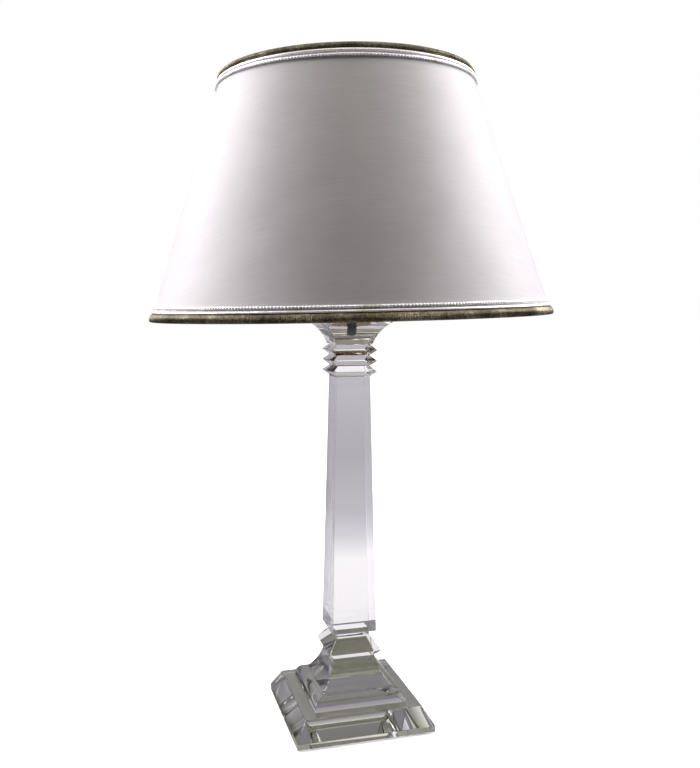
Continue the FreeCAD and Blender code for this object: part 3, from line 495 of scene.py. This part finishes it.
# Frosted glass: milky white with a soft skin, a little thinner and greyer here and there.
thin_places = 35.0  # one every 29 mm
frosted, tree, shader = new_finish("inside_frosted_glass")
milk = node(tree, "TexNoise", {"Scale": thin_places, "Detail": 4.0})
ramp = node(tree, "ValToRGB", {0: milk.outputs[0]}, stops=[(0.35, "#E4E4E2"), (0.65, "#F3F3F1")])
wire(tree, shader, {"Base Color": ramp.outputs[0], "Roughness": 0.28, "Subsurface Weight": 0.3,
                    "Subsurface Scale": 0.004})
globe_side = (
    (11.6, 489), (11.6, 501), (143, 1, "arc"), (26, 536.03), (30, -1, "arc"), (0.02, 581),
    (0.02, 580.2), (29.2, 1, "arc"), (25.3, 536.4), (143.8, -1, "arc"), (10.8, 501), (10.8, 489))
globe = lathe("blown_bulb_globe", globe_side)
put("blown_bulb_globe", globe, frosted, "bulb", ["bulb_globe"])
repaint(frosted, "bulb_stem")

# ---- Harp ----
# Brass-plated wire bent to a bow that spreads round the bulb, its feet on the saddle's posts under two
# sliding sleeves. A flat seat at the top carries the swivelling stud. Harp and shade lean by 1.39 degrees.
repaint(brass, "harp_wire", "harp_seat", "harp_stud", "harp_sleeve_left", "harp_sleeve_right")

# ---- Shade: satin and lining ----
# One sector of silver-lilac satin laminated to white styrene sheet and rolled to a cone, 0.6 mm over
# 0.8 mm thick, its ends glued edge to edge at the back. The wire rings in its edges hold it round.
shade_bottom, shade_top = 412.4, 645.7
wall_bottom, wall_slope = 196.2, 0.321
edge_gap = 1.1
lean = math.radians(-1.39)
saddle_top = Matrix.Translation((0, 0, 0.4261))
leaned = saddle_top @ Matrix.Rotation(lean, 4, "Y") @ saddle_top.inverted()
washer_play = 0.0015
hung = Matrix.Translation(leaned.to_3x3() @ Vector((washer_play, 0, 0))) @ leaned


def wall(height, out=0.0):
    """The radius of the shade's outer face at a height, in mm."""
    return wall_bottom - wall_slope * (height - shade_bottom) + out


def rolled_sheet(name, outer, thick):
    """A cone of sheet with its flat pattern as UV, in metres, the middle of the pattern at the front."""
    around, levels = 360, 24
    near_seam = 3.0
    low, high = shade_bottom + edge_gap, shade_top - edge_gap
    rows = []
    for out, way in ((outer, 1), (outer - thick, -1)):
        for level in range(levels + 1)[::way]:
            height = low + (high - low) * level / levels
            rows.append(round_row(wall(height, out) / 1000, height / 1000, around))
    mesh = skin(name, rows, cut=50)
    slant = math.hypot(1, wall_slope)
    share = wall_slope / slant
    flat = mesh.uv_layers.new(name="flat_pattern")
    for face in mesh.polygons:
        for corner in face.loop_indices:
            point = mesh.vertices[mesh.loops[corner].vertex_index].co
            turned_by = math.atan2(point.x, -point.y)
            if abs(turned_by) > near_seam and turned_by * face.center.x < 0:
                turned_by -= math.copysign(2 * math.pi, turned_by)
            reach = math.hypot(point.x, point.y) / share
            flat.data[corner].uv = (reach * math.sin(turned_by * share), -reach * math.cos(turned_by * share))
    mesh.transform(hung)
    return mesh


# Satin: a silver-lilac cloth with a soft sheen. Its floats lie along the cloth as fine broken lines; the
# real 0.25 mm threads are drawn 1.3 mm apart, since the picture can't hold them any finer.
satin_floats = (28.0, 760.0, 1.0)  # 36 mm long and 1.3 mm apart
dye_patches = 22.0  # one every 45 mm
satin, tree, shader = new_finish("silver_lilac_satin")
flat = node(tree, "UVMap").outputs[0]
thread = node(tree, "Mapping", {"Vector": flat, "Scale": satin_floats})
slub = node(tree, "TexNoise", {"Vector": thread.outputs[0], "Scale": 1.0, "Detail": 3.0, "Roughness": 0.6})
patch = node(tree, "TexNoise", {"Vector": flat, "Scale": dye_patches, "Detail": 3.0})
both = node(tree, "Math", {0: slub.outputs[0], 1: patch.outputs[0]}, operation="ADD")
tone = node(tree, "MapRange", {"Value": both.outputs[0], "From Min": 0.75, "From Max": 1.25}).outputs[0]
ramp = node(tree, "ValToRGB", {0: tone}, stops=[(0.0, "#BEBBBC"), (1.0, "#C8C5C6")])
bump = node(tree, "Bump", {"Strength": 0.12, "Distance": 0.0003, "Height": slub.outputs[0]})
wire(tree, shader, {"Base Color": ramp.outputs[0], "Roughness": 0.55, "Specular IOR Level": 0.35,
                    "Sheen Weight": 0.35, "Sheen Roughness": 0.4, "Sheen Tint": linear("#F3EEF6"),
                    "Normal": bump.outputs[0]})
cloth = put("satin_cover", rolled_sheet("satin_cover", 0.0, 0.6), satin, "shade", ["shade_fabric"])

# Styrene: smooth white sheet, barely creamy, with a low gloss and a faint orange peel.
orange_peel = 120.0  # one every 8 mm
styrene, tree, shader = new_finish("white_styrene_sheet")
peel = node(tree, "TexNoise", {"Scale": orange_peel, "Detail": 2.0})
ramp = node(tree, "ValToRGB", {0: peel.outputs[0]}, stops=[(0.3, "#E9E7E1"), (0.7, "#F2F0EB")])
bump = node(tree, "Bump", {"Strength": 0.1, "Distance": 0.0002, "Height": peel.outputs[0]})
wire(tree, shader, {"Base Color": ramp.outputs[0], "Roughness": 0.42, "Normal": bump.outputs[0]})
lining = rolled_sheet("styrene_lining", -0.7, 0.8)
put("styrene_lining", lining, styrene, "shade", ["shade_lining"])

# ---- Shade: rings, spider and washer ----
# Steel wire rings inside the folded edges. Three wire arms are welded to the top ring and drop to a
# washer that sits on the harp's stud. All are brass-plated, as bright as the stamped fittings.
repaint(brass, "bottom_ring", "top_ring", "spider_washer", "spider_arms")

# ---- Shade: bindings and braids ----
# A ribbed ribbon is folded over each edge of the shade and glued, its inner leg behind the wire ring.
# Beside it a silver braid is glued on, with a ridge along its near side and a row of beads along its far
# side. Sizes in mm.
bead_parts, bead_steps = 8, 8
ball_share = 0.94


def trim(name, section, finish, stands_for, around, wave):
    """A closed section in mm, carried round the shade. wave(row, angle) adds to the radius, in mm."""
    rows = []
    for number, (radius, height) in enumerate(section):
        rows.append(round_row(radius / 1000, height / 1000, around, lambda angle: wave(number, angle) / 1000))
    mesh = skin(name, rows, cut=60)
    mesh.transform(hung)
    return put(name, mesh, finish, "shade", stands_for)


def beads(name, radius, height, thick, pitch, finish):
    """A row of beads in mm: a cord that swells to a ball once for each bead."""
    count = round(2 * math.pi * radius / pitch)
    rows = []
    for part in range(bead_parts):
        turned_by = 2 * math.pi * part / bead_parts
        row = []
        for step in range(count * bead_steps):
            angle = 2 * math.pi * step / (count * bead_steps)
            along = ball_share * (2 * (step % bead_steps) / bead_steps - 1)
            swell = thick * math.sqrt(1 - along ** 2)
            reach = (radius + swell * math.cos(turned_by)) / 1000
            row.append(Vector((reach * math.cos(angle), reach * math.sin(angle),
                               (height + swell * math.sin(turned_by)) / 1000)))
        rows.append(row)
    mesh = skin(name, rows, cut=80)
    mesh.transform(hung)
    return put(name, mesh, finish, "shade")


# Ribbed ribbon: dark grey-olive floss over fine ribs, with paler worn flecks. The dark tone is partly the
# ribbon's own and partly painted shade on the rolled edge.
worn_flecks = 420.0  # one every 2.4 mm
dark_drifts = 38.0  # one every 26 mm
ribbon, tree, shader = new_finish("dark_ribbed_ribbon")
place = node(tree, "TexCoord").outputs["Object"]
fleck = node(tree, "TexNoise", {"Vector": place, "Scale": worn_flecks, "Detail": 4.0, "Roughness": 0.7})
drift = node(tree, "TexNoise", {"Vector": place, "Scale": dark_drifts, "Detail": 2.0})
both = node(tree, "Math", {0: fleck.outputs[0], 1: drift.outputs[0]}, operation="ADD")
tone = node(tree, "MapRange", {"Value": both.outputs[0], "From Min": 0.7, "From Max": 1.3}).outputs[0]
ramp = node(tree, "ValToRGB", {0: tone}, stops=[
    (0.0, "#2B271C"), (0.45, "#4F4836"), (0.7, "#6C6551"), (1.0, "#958F7B")])
wire(tree, shader, {"Base Color": ramp.outputs[0], "Metallic": 0.85, "Roughness": 0.46})

# Silver braid: pale grey metallic yarn with small bright spots as painted glints, gold-olive where it has
# tarnished.
glint_spot_scale = 700.0  # one every 1.4 mm
tarnish_patches = 30.0  # one every 33 mm
most_tarnish = (0.7, 0.7, 0.7, 1)
braid, tree, shader = new_finish("silver_metal_yarn_braid")
place = node(tree, "TexCoord").outputs["Object"]
painted_glints = node(tree, "TexVoronoi", {"Vector": place, "Scale": glint_spot_scale})
stain = node(tree, "TexNoise", {"Vector": place, "Scale": tarnish_patches, "Detail": 3.0})
silver = node(tree, "ValToRGB", {0: painted_glints.outputs[0]}, stops=[(0.1, "#FAF7F8"), (0.8, "#DEDADA")])
gold = node(tree, "ValToRGB", {0: stain.outputs[0]}, stops=[(0.60, (0, 0, 0, 1)), (0.80, most_tarnish)])
tone = node(tree, "Mix", {0: gold.outputs[0], 6: silver.outputs[0], 7: linear("#B0A67C")}, data_type="RGBA")
wire(tree, shader, {"Base Color": tone.outputs[2], "Metallic": 0.6, "Roughness": 0.36})

ribbon_thick, ribbon_gap, hem, inner_leg = 0.6, 0.15, 0.8, -6.5
roll_steps, roll_proud, roll_swell = 8, 1.0, 2.1
rib_pitch, rib_depth = 1.35, 0.22
trim_gap, tape_gap, tape_proud = 0.1, 0.12, 0.5
ridge_share, ridge_steps, ridge_proud, ridge_swell = 0.43, 6, 0.6, 1.8
pick_pitch, pick_depth = 1.6, 0.10
bead_thick, bead_pitch, bead_proud = 1.25, 3.0, 0.25
for end, edge, way, binding_high, braid_high in (("bottom", shade_bottom, 1, 7.7, 6.2),
                                                 ("top", shade_top, -1, 5.2, 7.2)):
    fold = edge + way * hem
    fold_end = edge + way * binding_high
    roll = []
    for step in range(roll_steps + 1):
        turned_by = math.pi * (step / roll_steps - 0.5)
        height = edge + way * binding_high * (0.5 + 0.5 * math.sin(turned_by))
        roll.append((wall(height, roll_proud + roll_swell * math.cos(turned_by)), height))
    section = roll + [
        (wall(fold_end, ribbon_gap), fold_end), (wall(edge, ribbon_gap), fold), (wall(edge, inner_leg), fold),
        (wall(fold_end, inner_leg), fold_end), (wall(fold_end, inner_leg - ribbon_thick), fold_end),
        (wall(edge, inner_leg - ribbon_thick), edge)]
    ribs = round(2 * math.pi * wall(edge) / rib_pitch)
    trim(
        end + "_ribbed_binding", section, ribbon, [end + "_binding"], ribs * 4,
        lambda row, angle: rib_depth * (math.cos(ribs * angle) - 1) if 0 < row < roll_steps else 0)

    braid_start = fold_end + way * trim_gap
    braid_end = braid_start + way * braid_high
    ridge_high = ridge_share * braid_high
    section = []
    for step in range(ridge_steps + 1):
        turned_by = math.pi * step / ridge_steps
        height = braid_start + way * ridge_high * (0.5 - 0.5 * math.cos(turned_by))
        section.append((wall(height, ridge_proud + ridge_swell * math.sin(turned_by)), height))
    section += [(wall(braid_end, tape_proud), braid_end), (wall(braid_end, tape_gap), braid_end),
                (wall(braid_start, tape_gap), braid_start)]
    picks = round(2 * math.pi * wall(braid_start) / pick_pitch)
    trim(
        end + "_ridged_braid", section, braid, [end + "_gimp"], picks * 4,
        lambda row, angle: pick_depth * (math.cos(picks * angle) - 1) if 0 < row < ridge_steps else 0)
    bead_line = braid_end - way * bead_thick
    bead_reach = wall(bead_line, bead_proud + bead_thick)
    beads(end + "_bead_row", bead_reach, bead_line, bead_thick, bead_pitch, braid)

# ---- Finial ----
# A turned and polished brass knob on a threaded brass bush. It is screwed down on the harp's stud and
# holds the shade's washer there.
knob_side = (
    (4.7, 633), (9.2, 633), (9.2, 635), (4.5, 1, "arc"), (5.7, 638), (5.7, 641), (12, 1, "arc"), (8.6, 650.2),
    (10.1, -1, "arc"), (2.2, 659.3), (2.2, 660.5), (0.05, 661.5), (0.05, 645.2), (4.7, 645.2))
knob = lathe("turned_finial_knob", knob_side, move=leaned)
put("turned_finial_knob", knob, brass, "finial", ["finial_knob"])
bush = threaded("finial_threaded_bush", low=633, high=641.6, radius=4.6, depth=0.3, pitch=0.94, thick=1.2)
bush.transform(leaned)
put("finial_threaded_bush", bush, brass, "finial_lead", ["finial_bush"])
